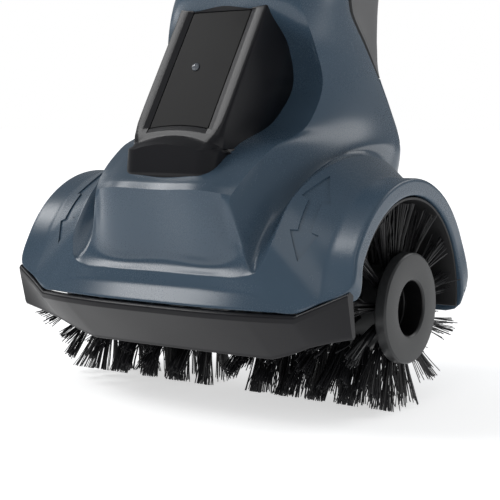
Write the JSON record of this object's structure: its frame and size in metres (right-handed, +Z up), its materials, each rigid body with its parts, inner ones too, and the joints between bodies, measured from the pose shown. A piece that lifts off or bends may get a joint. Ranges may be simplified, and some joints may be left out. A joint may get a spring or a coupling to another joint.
{
  "type": "wet dry floor scrubber",
  "caption": "Cordless roller-brush floor scrubber: bristled drums under a moulded hood, motor neck, telescopic pole, loop handle and battery grip.",
  "frame": {"origin": "on the floor under the middle of the machine's plan, with the machine standing on its bristle tips", "axes": "+X to the right, along the brush axis; +Y towards the person who holds it; +Z up"},
  "size_m": [0.2272, 0.556, 1.2802],
  "materials": {
    "housing": "satin slate blue, fine texture",
    "black_shell": "matte black",
    "liner": "satin black",
    "gloss_panel": "gloss black",
    "lens": "clear dome",
    "grey_shell": "satin mid grey",
    "drum": "semi-gloss dark grey",
    "bristle": "black nylon",
    "steel": "machined",
    "aluminium": "satin anodised",
    "rubber": "soft black grip",
    "board": "circuit board",
    "copper": "wound copper and cell wrap",
    "accent": "satin orange-brown"
  },
  "bodies": {
    "head": {"main_housing": "housing", "rear_housing": "housing", "neck_rear_cover": "grey_shell", "front_guard": "black_shell", "motor_cover": "black_shell", "cover_panel": "gloss_panel", "indicator_lens": "lens", "control_board": "board", "gear_case_left": "grey_shell", "gear_case_right": "grey_shell", "output_bearing_left": "steel", "output_bearing_right": "steel", "reduction_gearbox": "grey_shell", "motor_can": "steel", "motor_end_cap": "black_shell", "pole_socket": "black_shell", "lower_tube": "aluminium", "clamp_collar": "black_shell", "clamp_pin": "steel"},
    "brush": {"brush_shaft": "steel", "output_gear": "steel", "brush_drum_left": "drum", "brush_drum_right": "drum", "bristles_left": "bristle", "bristles_right": "bristle", "retaining_screw_left": "steel", "retaining_screw_right": "steel"},
    "pinion": {"drive_pinion": "steel", "pinion_shaft": "steel"},
    "rotor": {"motor_shaft": "steel", "rotor_core": "copper", "cooling_fan": "black_shell"},
    "shield": {"brush_shield": "liner"},
    "lever": {"clamp_lever": "accent"},
    "upper": {"upper_tube": "aluminium", "handle_shell_left": "housing", "handle_shell_right": "housing", "grip_sleeve": "rubber", "trigger_switch": "black_shell", "battery_rail": "black_shell", "aux_clamp": "black_shell"},
    "trigger": {"trigger": "accent"},
    "lock_button": {"lock_off_button": "accent"},
    "dial": {"speed_dial": "black_shell"},
    "loop": {"aux_handle": "black_shell", "aux_grip": "rubber", "aux_bolt": "steel"},
    "knob": {"aux_knob": "accent"},
    "battery": {"battery_case": "black_shell", "battery_lid": "housing", "battery_cells": "copper"},
    "battery_button": {"battery_release_button": "accent"}
  },
  "joints": [
    {"name": "brush_spin", "type": "hinge", "parent": "head", "child": "brush", "pos_m": [0, -0.18909, 0.0574], "axis": [1, 0, 0], "continuous": true},
    {"name": "pinion_spin", "type": "hinge", "parent": "head", "child": "pinion", "pos_m": [0, -0.17281, 0.10468], "axis": [0, 0.3256, 0.9455], "continuous": true},
    {"name": "motor_spin", "type": "hinge", "parent": "head", "child": "rotor", "pos_m": [0, -0.14351, 0.18977], "axis": [0, 0.3256, 0.9455], "continuous": true},
    {"name": "shield_turn", "type": "hinge", "parent": "head", "child": "shield", "pos_m": [0, -0.18909, 0.0574], "axis": [1, 0, 0], "range_deg": [0, 40]},
    {"name": "tube_slide", "type": "slide", "parent": "head", "child": "upper", "axis": [0, 0.3256, 0.9455], "range_m": [-0.11, 0.11]},
    {"name": "clamp_lever_turn", "type": "hinge", "parent": "head", "child": "lever", "pos_m": [0, 0.06268, 0.70258], "axis": [1, 0, 0], "range_deg": [0, 100]},
    {"name": "trigger_pull", "type": "slide", "parent": "upper", "child": "trigger", "axis": [0, -0.9455, 0.3256], "range_m": [0, 0.004], "stiffness_N_per_m": 600, "springref_m": -0.003},
    {"name": "lock_button_press", "type": "slide", "parent": "upper", "child": "lock_button", "axis": [0, 0.9455, -0.3256], "range_m": [0, 0.003], "stiffness_N_per_m": 400, "springref_m": -0.002},
    {"name": "speed_dial_turn", "type": "hinge", "parent": "upper", "child": "dial", "pos_m": [0, 0.12965, 1.04758], "axis": [1, 0, 0], "range_deg": [0, 270]},
    {"name": "loop_tilt", "type": "hinge", "parent": "upper", "child": "loop", "pos_m": [0, 0.05739, 0.87151], "axis": [1, 0, 0], "range_deg": [-35, 35]},
    {"name": "knob_turn", "type": "hinge", "parent": "loop", "child": "knob", "pos_m": [0.03, 0.05739, 0.87151], "axis": [1, 0, 0], "range_deg": [0, 300]},
    {"name": "battery_slide", "type": "slide", "parent": "upper", "child": "battery", "axis": [0, 0.9455, -0.3256], "range_m": [0, 0.095]},
    {"name": "battery_button_press", "type": "slide", "parent": "battery", "child": "battery_button", "axis": [0, -0.9455, 0.3256], "range_m": [0, 0.002], "stiffness_N_per_m": 500, "springref_m": -0.002}
  ],
  "couplings": [
    {"joint": "pinion_spin", "follows": "brush_spin", "ratio": -3.4},
    {"joint": "motor_spin", "follows": "brush_spin", "ratio": -13.6}
  ]
}
